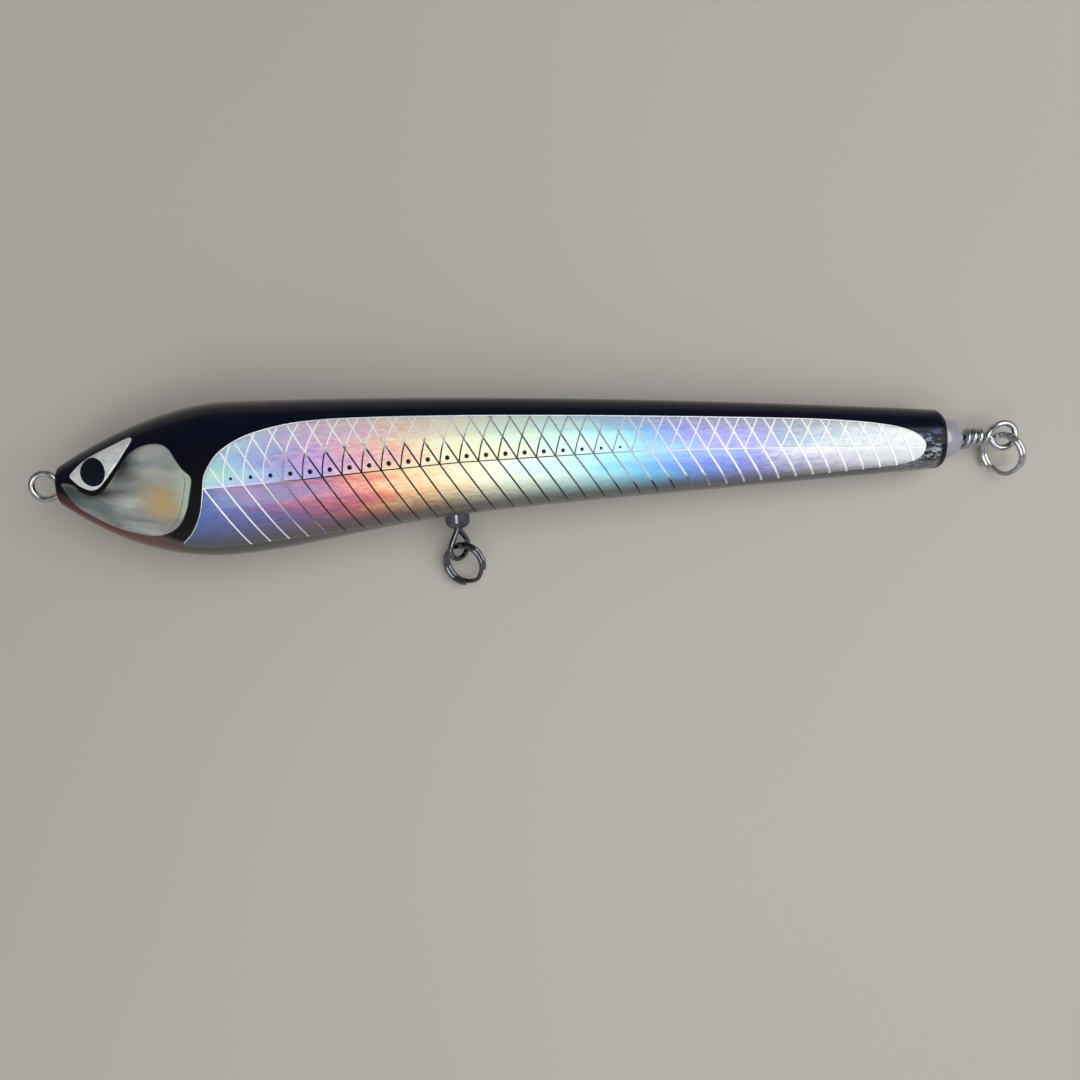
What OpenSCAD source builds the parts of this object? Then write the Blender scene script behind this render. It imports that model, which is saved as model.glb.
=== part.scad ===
// Diving pencil lure, a long wooden topwater plug for casting, lying on its right flank.
// Sizes are in millimetres. In the lure's own frame X runs from the nose to the tail,
// Y points out of the back and Z out of the left flank, with the through wire on the X axis.

/* [Body] */
// Length of the wooden body from the nose face to the tail face
body_len = 211.4; // [150:0.1:260]
// Distance from the nose to the deepest and widest station
shoulder_x = 39.1; // [30:0.1:60]
// Height of the back above the wire at the shoulder
shoulder_top = 17.8; // [12:0.1:24]
// Depth of the belly below the wire at the shoulder
shoulder_bottom = 18.9; // [12:0.1:26]
// Half width of the body at the shoulder
shoulder_side = 14.2; // [10:0.1:20]
// Height of the nose face above the wire
nose_top = 4.6; // [3.5:0.1:7]
// Depth of the nose face below the wire
nose_bottom = 4.4; // [3.5:0.1:7]
// Half width of the nose face
nose_side = 4.4; // [3.5:0.1:7]
// Radius of the round tail face
tail_r = 7.2; // [6.2:0.1:10]
// How far the chest hangs below the straight belly line
chest_swell = 5.4; // [0:0.1:8]
// How far behind the shoulder the chest fades out
chest_reach = 37.5; // [20:0.5:60]
// Roundness of the edges of the nose and tail faces
edge_round = 0.5; // [0.3:0.1:1]
// Squareness of the cross section, 2 is an ellipse
section_power = 2.15; // [2:0.05:2.8]

/* [Wire and eyes] */
// Thickness of the stainless through wire
wire_d = 1.5; // [1:0.1:2]
// Outer width of the nose eye
nose_eye_d = 7.8; // [6:0.1:10]
// Distance from the nose face forward to the middle of the nose eye
nose_eye_out = 3.9; // [2.5:0.1:6]
// Outer width of the tail loop
tail_eye_d = 7.6; // [6:0.1:10]
// Number of wraps that close each wire eye
wrap_turns = 2.25; // [1.25:1:4.25]
// Free gap between neighbouring wraps and between wraps and run
wrap_gap = 0.45; // [0.42:0.01:0.8]

/* [Tail weight and ballast] */
// Width of the tail weight where it meets the tail face
tail_weight_d = 10.7; // [8:0.1:12]
// Length of the domed part of the tail weight
tail_weight_len = 6.6; // [3:0.1:8]
// Width of the tail weight's spigot
spigot_d = 7; // [5:0.1:8]
// Length of the tail weight's spigot in the wood
spigot_len = 14; // [8:0.5:24]
// Width of the front ballast slug
front_ballast_d = 10; // [6:0.1:10.2]
// Length of the front ballast slug
front_ballast_len = 36; // [10:0.5:36]
// Distance from the nose to the middle of the front ballast
front_ballast_x = 65; // [56:0.5:66]
// Width of the rear ballast slug
rear_ballast_d = 6.4; // [4:0.1:6.6]
// Length of the rear ballast slug
rear_ballast_len = 30; // [8:0.5:32]
// Distance from the nose to the middle of the rear ballast
rear_ballast_x = 130; // [124:0.5:132]

/* [Belly swivel] */
// Distance from the nose to the swivel
swivel_x = 93.1; // [90:0.1:100]
// Thickness of the swivel's eye wire
eye_wire_d = 1.3; // [1:0.1:1.6]
// Outer width of the swivel's eyes
eye_d = 7.2; // [6:0.1:9]
// Greatest width of the swivel's barrel
barrel_d = 6.1; // [5:0.1:7]
// Width of the barrel's two ends
barrel_end_d = 4.6; // [4:0.1:6]
// Length of the barrel
barrel_len = 8.4; // [7:0.1:11]
// Width of the drilled hole in the belly
swivel_hole_d = 9.6; // [8.6:0.1:11]
// Angle that the swivel hangs over from the belly line, to its stop
swivel_droop = 7; // [0:0.5:8]
// Turn of the lower eye about the swivel's axis
eye_turn = -45; // [-180:1:180]

/* [Split rings] */
// Outer width of a split ring
ring_d = 10.9; // [9:0.1:14]
// Thickness of the flattened ring wire
ring_wire = 1; // [0.7:0.05:1.3]
// Free gap between the ring's two turns
ring_gap = 0.42; // [0.41:0.01:0.6]
// Distance from the belly ring's middle to the eye wire that it hangs on
belly_ring_hang = 1.8; // [1:0.1:4]
// Swing of the belly ring away from the swivel's axis
belly_ring_swing = 40; // [-90:1:90]
// Twist of the belly ring about the way that it hangs
belly_ring_twist = -20; // [-60:1:60]
// Place of the tail ring around the tail loop
tail_ring_place = -80; // [-120:1:90]
// Distance from the tail ring's middle to the loop wire that it hangs on
tail_ring_hang = 1.8; // [1:0.1:3]
// Swing of the tail ring out of the loop's plane
tail_ring_swing = -20; // [-90:1:90]
// Lean of the tail ring
tail_ring_lean = -38; // [-60:1:60]

/* [Inlays] */
// Thickness of the foil on each flank
foil_thick = 0.2; // [0.12:0.01:0.4]
// Thickness of the pearl shell plates
shell_thick = 0.35; // [0.2:0.01:0.6]
// Thickness of the pupils
pupil_thick = 0.3; // [0.2:0.01:0.5]

/* [Fits] */
// Radial clearance of a glued joint
glue = 0.1; // [0.05:0.01:0.3]
// Radial clearance of a turning joint
running = 0.06; // [0.03:0.01:0.1]

/* [Resting place] */
// Roll of the lure on the floor, belly side down
roll = 14; // [0:0.5:20]

/* [Hidden] */
$fn = 48;

// Steps of the loft: around one half, along the head and along the rest
around = 20;
head_steps = 12;
rear_steps = 22;
// How fast each outline leaves the nose, and how it runs down to the tail
back_head = 1.7;
belly_head = 2.2;
side_head = 1.9;
back_rear = 1.57;
side_rear = 1.15;
// Overrun of every cutter
over = 1;

// Wire eyes
wire_r = wire_d / 2;
nose_loop_r = (nose_eye_d - wire_d) / 2;
tail_loop_r = (tail_eye_d - wire_d) / 2;
bend_r = 1.2;
wrap_r = wire_d + wrap_gap;
wrap_pitch = wire_d + wrap_gap;
wrap_back = 2.6;
wrap_len = wrap_turns * wrap_pitch;
wrap_clear = 0.6;
tail_loop_x = body_len + tail_weight_len + wrap_clear + wrap_len + wrap_back + tail_loop_r;
nose_bore_len = wrap_back + wrap_len + 2 * wire_d + nose_loop_r - nose_eye_out;
// Angle where the loop leaves its circle for the wraps, and how far its three stretches lap over
loop_out = 125;
lap = 4;
lap_deep = 10;
bend_steps = 8;
wrap_steps = 24;
return_steps = 10;
return_pull = 0.8;
return_end = [-1, -5, 0];
// The bent stretches are a little thinner, so that their facets stay inside the round ones
bent_share = 0.98;

// Swivel, along its own axis from the through wire outward
eye_r = eye_wire_d / 2;
eye_loop_r = (eye_d - eye_wire_d) / 2;
eye_reach = 1.75 * eye_loop_r;
neck_gap = 0.6;
neck_lap = 0.4;
upper_top = -(wire_r + glue + eye_r);
upper_neck = upper_top + eye_loop_r + eye_reach;
barrel_top = upper_neck + neck_gap;
barrel_bottom = barrel_top + barrel_len;
lower_neck = barrel_bottom + neck_gap;
ring_pivot = lower_neck + eye_reach + eye_loop_r;
shank_r = 0.85 * eye_wire_d;
barrel_wall = 1.1;
barrel_steps = 6;
barrel_round = 1.5;
barrel_lip = 0.45;
head_r = barrel_end_d / 2 - barrel_lip;
head_len = 1.1;
head_play = 0.3;
hole_clear = 0.5;
swivel_hole_top = -upper_top + eye_r + hole_clear;

// Split rings
ring_mid_r = (ring_d - ring_wire) / 2;
ring_pitch = ring_wire + ring_gap;
ring_h = ring_pitch + ring_wire;
ring_jog = 60;
ring_clear = 7;
ring_steps = 10;

// Dome of the tail weight: how blunt it is, and the angle where its flat top begins
dome_power = 0.8;
dome_top = 75;
dome_step = 15;

// Wood left between the wire and a ballast slug
ballast_cover = 2;

echo("least gap between the ring's turns", ring_pitch - ring_wire);

// Outline of the body in the lure's own frame
function head_part(x) = 1 - max(0, x / shoulder_x);
function rear_part(x) = max(0, (x - shoulder_x) / (body_len - shoulder_x));
function back_y(x) = x < shoulder_x ?
    nose_top + (shoulder_top - nose_top) * (1 - pow(head_part(x), back_head)) :
    tail_r + (shoulder_top - tail_r) * (1 - pow(rear_part(x), back_rear));
function belly_y(x) = x < shoulder_x ?
    nose_bottom + (shoulder_bottom - nose_bottom) * (1 - pow(head_part(x), belly_head)) :
    tail_r + (shoulder_bottom - chest_swell - tail_r) * (1 - rear_part(x)) +
    chest_swell * exp(-pow((x - shoulder_x) / chest_reach, 2));
function side_z(x) = x < shoulder_x ?
    nose_side + (shoulder_side - nose_side) * (1 - pow(head_part(x), side_head)) :
    tail_r + (shoulder_side - tail_r) * (1 - pow(rear_part(x), side_rear));
function end_gap(x) = min(x, body_len - x);
function rounding(x) = end_gap(x) >= edge_round ? 0 :
    edge_round - sqrt(pow(edge_round, 2) - pow(edge_round - end_gap(x), 2));

// Stations along the body, close together at the rounded edges
edge_steps = [0, 0.1, 0.35, 1];
function head_share(u) = (1 - cos(90 * u) + u) / 2;
stations = concat([for (e = edge_steps) e * edge_round],
    [for (i = [1:head_steps]) edge_round + (shoulder_x - edge_round) * head_share(i / head_steps)],
    [for (i = [1:rear_steps]) shoulder_x + (body_len - edge_round - shoulder_x) * i / rear_steps],
    [for (i = [len(edge_steps) - 2:-1:0]) body_len - edge_steps[i] * edge_round]);

// One point of the left flank, at an angle from the back and a height above the skin
function power(a) = sign(a) * pow(abs(a), 2 / section_power);
function exact(a) = abs(a) < 0.000001 ? 0 : a;
function skin(x, a, t) = let (c = exact(cos(a)), s = exact(sin(a)), end = t - rounding(x))
    [x, ((c > 0 ? back_y(x) : belly_y(x)) + end) * power(c), (side_z(x) + end) * power(s)];
function turn(j) = 180 * j / around;

// Ends of the flank foil, as shares of the body behind the shoulder
function behind(share) = shoulder_x + share * (body_len - shoulder_x);
foil_front = behind(-0.058);
foil_rear = behind(0.966);

// How the lure lies: rolled, then pitched until the floor carries it on both sides of its balance point
function in_foil(x) = x > foil_front && x < foil_rear;
function low(x) = min([for (j = [0:around]) let (p = skin(x, turn(j), in_foil(x) ? foil_thick : 0))
    p[1] * sin(roll) - p[2] * cos(roll)]);
lows = [for (x = stations) low(x)];
balance_x = 0.45 * body_len;
last = len(stations) - 1;
fore = [for (i = [0:last]) if (stations[i] < balance_x) i];
aft = [for (i = [0:last]) if (stations[i] > balance_x) i];
function slope(i, j) = (lows[j] - lows[i]) / (stations[j] - stations[i]);
props = [for (i = fore, j = aft) [lows[i] + slope(i, j) * (balance_x - stations[i]), slope(i, j)]];
lowest_prop = min([for (p = props) p[0]]);
pitch = atan([for (p = props) if (p[0] == lowest_prop) p[1]][0]);
lift = -min([for (i = [0:last]) lows[i] * cos(pitch) - stations[i] * sin(pitch)]);

// Middle of everything in plan, so that the origin is under the middle of the part
function ring_half(axis_share) = ring_d / 2 * sqrt(1 - pow(axis_share, 2)) + ring_h / 2 * abs(axis_share);
function about_x(p, a) = [p[0], p[1] * cos(a) - p[2] * sin(a), p[1] * sin(a) + p[2] * cos(a)];
function about_y(p, a) = [p[0] * cos(a) + p[2] * sin(a), p[1], p[2] * cos(a) - p[0] * sin(a)];
function about_z(p, a) = [p[0] * cos(a) - p[1] * sin(a), p[0] * sin(a) + p[1] * cos(a), p[2]];
front_end = -(nose_eye_out + nose_eye_d / 2);
function tail_hung(p) = about_z(about_x(about_y(p, -tail_ring_swing), tail_ring_lean), tail_ring_place);
tail_ring_x = tail_loop_x + tail_loop_r * cos(tail_ring_place) + tail_hung([tail_ring_hang, 0, 0])[0];
rear_end = max(tail_loop_x + tail_eye_d / 2, tail_ring_x + ring_half(tail_hung([0, 1, 0])[0]));
hang_angle = 90 + roll + swivel_droop;
function belly_hung(p) =
    about_x(about_z(about_x(p, -belly_ring_swing), eye_turn + belly_ring_twist), hang_angle);
belly_ring_y = ring_pivot * cos(90 + hang_angle) + belly_hung([0, 0, belly_ring_hang])[1];
belly_end = belly_ring_y - ring_half(belly_hung([1, 0, 0])[1]);
back_end = max([for (x = stations, j = [0:around]) let (p = skin(x, turn(j), 0))
    p[1] * cos(roll) + p[2] * sin(roll)]);
mid_x = (front_end + rear_end) / 2 * cos(pitch);
mid_y = (back_end + belly_end) / 2;

module lying() {
    translate([-mid_x, -mid_y, lift]) rotate([roll, pitch, 0]) children();
}

// Smooth closed outline through hand set points
function knot(p, i) = p[(i + len(p)) % len(p)];
function blend4(a, b, c, d, t) = 0.5 * (2 * b + (c - a) * t + (2 * a - 5 * b + 4 * c - d) * t * t +
    (3 * b - a - 3 * c + d) * t * t * t);
function smooth(p, n) = [for (i = [0:len(p) - 1], k = [0:n - 1])
    blend4(knot(p, i - 1), knot(p, i), knot(p, i + 1), knot(p, i + 2), k / n)];

// Place on the left flank, as seen from the side
function mark(x, a) = let (p = skin(x, a, 0)) [p[0], p[1]];

// Hand set outlines: share of the length and angle from the back. The foil counts from the shoulder back,
// and the gill and eye plates count from the nose to the shoulder
foil_marks = [[-0.0145, 90.5], [-0.011, 82], [-0.001, 72.5], [0.0116, 64.5], [0.032, 56.5],
    [0.055, 50.5], [0.09, 44.5], [0.125, 41], [0.18, 39], [0.31, 38.5], [0.445, 39.5], [0.545, 40.5],
    [0.735, 43], [0.818, 45], [0.871, 48.5], [0.908, 53.5], [0.934, 60], [0.9545, 70], [0.966, 82],
    [0.9692, 93.5], [0.9655, 108], [0.955, 119], [0.937, 126], [0.905, 129], [0.856, 131], [0.755, 134],
    [0.653, 138], [0.569, 142], [0.43, 148], [0.34, 152], [0.27, 151], [0.21, 148], [0.087, 141.5],
    [0.02, 141], [-0.026, 141.5], [-0.0555, 138.5], [-0.0385, 123.5], [-0.0228, 107]];
gill_marks = [[0.059, 79], [0.095, 100], [0.146, 117], [0.253, 126], [0.386, 131.5], [0.529, 132],
    [0.647, 128], [0.754, 118], [0.821, 105], [0.854, 94], [0.875, 83], [0.828, 76], [0.79, 68],
    [0.749, 58.5], [0.688, 52], [0.591, 50], [0.519, 54], [0.473, 62], [0.427, 72], [0.366, 85],
    [0.309, 92], [0.253, 95], [0.182, 92], [0.128, 82]];
eye_marks = [[0.514, 37], [0.386, 38.5], [0.284, 41], [0.22, 44.5], [0.168, 52.5], [0.122, 66],
    [0.147, 77], [0.19, 86.5], [0.2455, 90.5], [0.2967, 88.5], [0.337, 82.5], [0.399, 70.5],
    [0.4629, 56]];
foil_outline = smooth([for (m = foil_marks) mark(behind(m[0]), m[1])], 3);
gill_outline = smooth([for (m = gill_marks) mark(m[0] * shoulder_x, m[1])], 3);
eye_outline = smooth([for (m = eye_marks) mark(m[0] * shoulder_x, m[1])], 4);
pupil_mark = mark(0.277 * shoulder_x, 68.5);
pupil_half = [0.083 * shoulder_x, 0.079 * shoulder_x];

// Solid left half of the wooden body, flat on the middle plane
module half_loft() {
    n = len(stations);
    m = around + 1;
    polyhedron([for (x = stations, j = [0:around]) skin(x, turn(j), 0)],
        concat([for (i = [0:n - 2], j = [0:around - 1]) [i * m + j, (i + 1) * m + j, (i + 1) * m + j + 1]],
            [for (i = [0:n - 2], j = [0:around - 1]) [i * m + j, (i + 1) * m + j + 1, i * m + j + 1]],
            [for (i = [0:n - 2]) [(i + 1) * m, i * m, i * m + around, (i + 1) * m + around]],
            [[for (j = [0:around]) j], [for (j = [around:-1:0]) (n - 1) * m + j]]));
}

// Thin patch of the left flank between two heights above the skin
module skin_patch(x0, x1, a0, a1, t0, t1) {
    xs = [for (x = stations) if (x > x0 && x < x1) x];
    js = [for (j = [0:around]) if (turn(j) > a0 && turn(j) < a1) j];
    n = len(xs);
    m = len(js);
    k = n * m;
    e = (n - 1) * m;
    polyhedron(concat([for (x = xs, j = js) skin(x, turn(j), t1)],
            [for (x = xs, j = js) skin(x, turn(j), t0)]),
        concat([for (i = [0:n - 2], j = [0:m - 2]) [i * m + j, (i + 1) * m + j, (i + 1) * m + j + 1]],
            [for (i = [0:n - 2], j = [0:m - 2]) [i * m + j, (i + 1) * m + j + 1, i * m + j + 1]],
            [for (i = [0:n - 2], j = [0:m - 2]) [k + i * m + j, k + (i + 1) * m + j + 1,
                k + (i + 1) * m + j]],
            [for (i = [0:n - 2], j = [0:m - 2]) [k + i * m + j, k + i * m + j + 1, k + (i + 1) * m + j + 1]],
            [for (i = [0:n - 2]) [i * m, k + i * m, k + (i + 1) * m, (i + 1) * m]],
            [for (i = [1:n - 1]) [i * m + m - 1, k + i * m + m - 1, k + i * m - 1, i * m - 1]],
            [for (j = [0:m - 2]) [j, j + 1, k + j + 1, k + j]],
            [for (j = [0:m - 2]) [e + j, k + e + j, k + e + j + 1, e + j + 1]]));
}

// Everything that is cut out of the two wooden halves
module body_cuts() {
    translate([-over, 0, 0]) rotate([0, 90, 0]) cylinder(r = wire_r + glue, h = body_len + 2 * over);
    translate([-over, 0, 0]) rotate([0, 90, 0]) cylinder(r = nose_bore_r, h = nose_bore_len + over);
    translate([body_len - spigot_len - glue, 0, 0]) rotate([0, 90, 0])
        cylinder(d = spigot_d + 2 * glue, h = spigot_len + 2 * over);
    translate([swivel_x, swivel_hole_top, 0]) rotate([90, 0, 0])
        cylinder(d = swivel_hole_d, h = 2 * shoulder_bottom);
    ballast(front_ballast_x, front_ballast_d, front_ballast_len, glue);
    ballast(rear_ballast_x, rear_ballast_d, rear_ballast_len, glue);
}

module left_half() {
    color("#2b3440") difference() {
        half_loft();
        body_cuts();
    }
}

// Lead slug under the wire, with room to spare when it is cut from the wood
module ballast(x, d, len, extra) {
    translate([x - len / 2 - extra, -(wire_r + ballast_cover + d / 2), 0]) rotate([0, 90, 0])
        cylinder(d = d + 2 * extra, h = len + 2 * extra);
}

// Round wire along a list of points
function unit(a) = a / norm(a);
function heading(p, i) = unit(p[min(i + 1, len(p) - 1)] - p[max(i - 1, 0)]);
function across(v, h) = unit(v - h * (v * h));
function normals(p, first) = [for (i = 0, v = across(first, heading(p, 0)); i < len(p);
    i = i + 1, v = across(v, heading(p, min(i, len(p) - 1)))) v];
module tube(p, r, first) {
    sides = 8;
    v = normals(p, first);
    n = len(p);
    polyhedron([for (i = [0:n - 1], k = [0:sides - 1]) let (w = cross(heading(p, i), v[i]))
            p[i] + r * (cos(360 * k / sides) * v[i] + sin(360 * k / sides) * w)],
        concat([for (i = [0:n - 2], k = [0:sides - 1]) [i * sides + k, (i + 1) * sides + k,
                (i + 1) * sides + (k + 1) % sides]],
            [for (i = [0:n - 2], k = [0:sides - 1]) [i * sides + k, (i + 1) * sides + (k + 1) % sides,
                i * sides + (k + 1) % sides]],
            [[for (k = [0:sides - 1]) k], [for (k = [sides - 1:-1:0]) (n - 1) * sides + k]]));
}

// Wire eye with its wraps. The loop's middle is the origin and the run arrives along X
function loop_in(r) = asin(bend_r / (r + bend_r));
function run_end(r) = -sqrt(pow(r + bend_r, 2) - pow(bend_r, 2));
function on_loop(r, a) = r * [cos(a), sin(a), 0];
function bend_angle(r, i) = 90 - (90 - loop_in(r)) * i / bend_steps;
function lead_in(r) = concat([[run_end(r) - wire_d, 0, 0]],
    [for (i = [0:bend_steps]) [run_end(r), -bend_r, 0] + on_loop(bend_r, bend_angle(r, i))],
    [for (a = [lap, lap_deep]) on_loop(r, 180 + loop_in(r) + a)]);
function hermite(p, q, u, v, t) = (2 * t * t * t - 3 * t * t + 1) * p + (t * t * t - 2 * t * t + t) * u +
    (3 * t * t - 2 * t * t * t) * q + (t * t * t - t * t) * v;
function wrap_at(r, a) = [-r - wrap_back - wrap_pitch * a / 360, -wrap_r * sin(a), wrap_r * cos(a)];
function return_part(r) = concat([for (a = [lap_deep, lap]) on_loop(r, loop_out - a)],
    [for (i = [0:return_steps - 1]) hermite(on_loop(r, loop_out), wrap_at(r, 0),
        return_pull * on_loop(r, loop_out + 90), return_end, i / return_steps)]);
function wraps(r) = [for (i = [0:wrap_steps * wrap_turns]) wrap_at(r, 360 * i / wrap_steps)];
function return_path(r) = concat(return_part(r), wraps(r));
function self_gap(p) = min([for (i = [0:len(p) - 1], j = [i + wrap_steps / 2:1:len(p) - 1])
    norm(p[i] - p[j])]) - wire_d;
function run_gap(p, r) = min([for (q = p) norm([max(0, q[0] - run_end(r)), q[1], q[2]])]) - wire_d;
function lead_gap(p, r) = min([for (q = p, s = lead_in(r)) norm(q - s)]) - wire_d;
tail_return = return_path(tail_loop_r);
nose_return = return_path(nose_loop_r);
// The nose bore takes the wire wherever it runs inside the wood
function outside(q) = max(0, nose_eye_out + q[0]);
function reach(q) = norm([q[1], q[2]]) + sqrt(pow(wire_r, 2) - pow(outside(q), 2));
nose_bore_r = max([for (q = nose_return) if (outside(q) < wire_r) reach(q)]) + glue;
echo("least gap of the wraps to themselves", self_gap(tail_return), self_gap(nose_return));
echo("least gap of the wraps to the run", run_gap(tail_return, tail_loop_r),
    run_gap(nose_return, nose_loop_r));
echo("least gap of the wraps to the bend", lead_gap(tail_return, tail_loop_r),
    lead_gap(nose_return, nose_loop_r));

module wire_eye(r) {
    start = 180 + loop_in(r) + lap / 2;
    rotate([0, 0, start]) rotate_extrude(angle = 360 + loop_out - lap - start)
        translate([r, 0]) circle(wire_r, $fn = 24);
    tube(lead_in(r), bent_share * wire_r, [0, 0, 1]);
    tube(return_path(r), bent_share * wire_r, [0, 0, 1]);
}

// One wire from eye to eye, in three stretches that meet inside the wood and inside the tail weight
module wire_run(from, to) {
    translate([from, 0, 0]) rotate([0, 90, 0]) cylinder(r = wire_r, h = to - from, $fn = 24);
}

module nose_wire() {
    color("#b9bec4") {
        wire_run(-nose_eye_out - run_end(nose_loop_r), nose_bore_len);
        translate([-nose_eye_out, 0, 0]) rotate([0, 0, 180]) wire_eye(nose_loop_r);
    }
}

module tail_wire() {
    color("#b9bec4") {
        wire_run(body_len, tail_loop_x + run_end(tail_loop_r));
        translate([tail_loop_x, 0, 0]) wire_eye(tail_loop_r);
    }
}

module tail_dome() {
    color("#8e949b") translate([body_len, 0, 0]) rotate([0, 90, 0]) difference() {
        union() {
            rotate_extrude() polygon(concat([[0, 0]], [for (a = [0:dome_step:dome_top])
                [tail_weight_d / 2 * pow(cos(a), dome_power), tail_weight_len * sin(a)]],
                [[0, tail_weight_len * sin(dome_top)]]));
            translate([0, 0, -spigot_len]) cylinder(d = spigot_d, h = spigot_len + over);
        }
        translate([0, 0, -spigot_len - over])
            cylinder(r = wire_r + glue, h = spigot_len + tail_weight_len + 2 * over);
    }
}

// Swivel frame: Z runs along the swivel's axis, out of the belly
module on_swivel() {
    translate([swivel_x, 0, 0]) rotate([swivel_droop, 0, 0]) rotate([90, 0, 0]) children();
}

// Swivel eye with its neck at the origin, loop along Z and headed shank the other way
module swivel_eye(shank_len) {
    spread = acos(eye_loop_r / eye_reach);
    translate([0, 0, eye_reach]) rotate([90, 0, 0]) rotate([0, 0, spread - 90])
        rotate_extrude(angle = 360 - 2 * spread) translate([eye_loop_r, 0]) circle(eye_r, $fn = 24);
    for (s = [-1, 1]) rotate([0, s * (90 - spread), 0])
        cylinder(r = eye_r, h = eye_reach * sin(spread), $fn = 24);
    translate([0, 0, -shank_len]) cylinder(r = shank_r, h = shank_len + neck_lap);
    translate([0, 0, -shank_len - head_len]) cylinder(r = head_r - head_play, h = head_len);
}

module upper_eye() {
    color("#3c3f44") on_swivel() translate([0, 0, upper_neck]) rotate([180, 0, 90])
        swivel_eye(barrel_top - upper_neck + barrel_wall + running);
}

module lower_eye() {
    color("#3c3f44") on_swivel() translate([0, 0, lower_neck]) rotate([0, 0, eye_turn])
        swivel_eye(lower_neck - barrel_bottom + barrel_wall + running);
}

module barrel() {
    bulge = (barrel_d - barrel_end_d) / 2;
    color("#33363b") on_swivel() translate([0, 0, barrel_top]) difference() {
        rotate_extrude() polygon(concat([[0, 0]], [for (i = [0:barrel_steps]) let (a = 90 * i / barrel_steps)
            [barrel_end_d / 2 + bulge * sin(a), barrel_round * (1 - cos(a))]],
            [for (i = [0:barrel_steps]) let (a = 90 * i / barrel_steps)
            [barrel_end_d / 2 + bulge * cos(a), barrel_len - barrel_round * (1 - sin(a))]],
            [[0, barrel_len]]));
        translate([0, 0, -over]) cylinder(r = shank_r + running, h = barrel_len + 2 * over);
        translate([0, 0, barrel_wall]) cylinder(r = head_r, h = barrel_len - 2 * barrel_wall);
    }
}

// Split ring of two turns about Z, one unbroken flattened wire
ring_half_w = ring_wire / 2;
ring_cut = ring_half_w - 0.25 * ring_wire;
ring_section = [[ring_half_w, ring_cut], [ring_cut, ring_half_w], [-ring_cut, ring_half_w],
    [-ring_half_w, ring_cut], [-ring_half_w, -ring_cut], [-ring_cut, -ring_half_w],
    [ring_cut, -ring_half_w], [ring_half_w, -ring_cut]];

module ring_turn(level, start) {
    translate([0, 0, level]) rotate([0, 0, start])
        rotate_extrude(angle = 360 - ring_jog - ring_clear, $fn = 60)
        translate([ring_mid_r, 0]) polygon(ring_section);
}

module ring_crossover() {
    n = len(ring_section);
    polyhedron([for (i = [0:ring_steps], q = ring_section) let (a = ring_jog * (i / ring_steps - 0.5),
            z = -ring_pitch / 2 * cos(180 * i / ring_steps))
            [(ring_mid_r + q[0]) * cos(a), (ring_mid_r + q[0]) * sin(a), q[1] + z]],
        concat([for (i = [0:ring_steps - 1], k = [0:n - 1]) [i * n + k, (i + 1) * n + (k + 1) % n,
                (i + 1) * n + k]],
            [for (i = [0:ring_steps - 1], k = [0:n - 1]) [i * n + k, i * n + (k + 1) % n,
                (i + 1) * n + (k + 1) % n]],
            [[for (k = [n - 1:-1:0]) k], [for (k = [0:n - 1]) ring_steps * n + k]]));
}

module split_ring() {
    ring_turn(-ring_pitch / 2, ring_jog / 2 + ring_clear);
    ring_crossover();
    ring_turn(ring_pitch / 2, ring_jog / 2);
}

module belly_ring() {
    color("#3a3d42") on_swivel() rotate([0, 0, eye_turn]) translate([0, 0, ring_pivot])
        rotate([0, 0, belly_ring_twist]) rotate([-belly_ring_swing, 0, 0])
        translate([0, 0, belly_ring_hang]) rotate([0, 90, 0]) rotate([0, 0, 180]) split_ring();
}

module tail_ring() {
    color("#b4b9bf") translate([tail_loop_x, 0, 0]) rotate([0, 0, tail_ring_place])
        translate([tail_loop_r, 0, 0]) rotate([tail_ring_lean, 0, 0]) rotate([0, -tail_ring_swing, 0])
        translate([tail_ring_hang, 0, 0]) rotate([90, 0, 0]) split_ring();
}

// Plates of the left flank, each a skin patch cut to its outline
module cut_out(outline) {
    intersection() {
        children();
        translate([0, 0, nose_side / 8]) linear_extrude(height = 2 * shoulder_side) polygon(outline);
    }
}

module flank_foil() {
    color("#9fb4d8") cut_out(foil_outline) skin_patch(behind(-0.088), behind(0.99), 25, 165, 0, foil_thick);
}

module gill_shell() {
    color("#c9cdd0") cut_out(gill_outline) skin_patch(0, behind(0.006), 40, 160, 0, shell_thick);
}

module eye_shell() {
    color("#eef0ee") cut_out(eye_outline) skin_patch(0, 0.75 * shoulder_x, 20, 120, 0, shell_thick);
}

module pupil() {
    color("#101215") intersection() {
        skin_patch(0, 0.75 * shoulder_x, 20, 130, shell_thick, shell_thick + pupil_thick);
        translate(pupil_mark) scale([pupil_half[0] / pupil_half[1], 1, 1])
            cylinder(r = pupil_half[1], h = 2 * shoulder_side, $fn = 32);
    }
}

module left_body_half() { lying() left_half(); }
module right_body_half() { lying() mirror([0, 0, 1]) left_half(); }
module nose_eye() { lying() nose_wire(); }
module through_wire() { color("#b9bec4") lying() wire_run(nose_bore_len, body_len); }
module tail_eye() { lying() tail_wire(); }
module front_ballast() {
    color("#6d7076") lying() ballast(front_ballast_x, front_ballast_d, front_ballast_len, 0);
}
module rear_ballast() {
    color("#6d7076") lying() ballast(rear_ballast_x, rear_ballast_d, rear_ballast_len, 0);
}
module tail_weight() { lying() tail_dome(); }
module swivel_upper_eye() { lying() upper_eye(); }
module swivel_barrel() { lying() barrel(); }
module swivel_lower_eye() { lying() lower_eye(); }
module belly_split_ring() { lying() belly_ring(); }
module tail_split_ring() { lying() tail_ring(); }
module left_flank_foil() { lying() flank_foil(); }
module right_flank_foil() { lying() mirror([0, 0, 1]) flank_foil(); }
module left_gill_shell() { lying() gill_shell(); }
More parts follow.
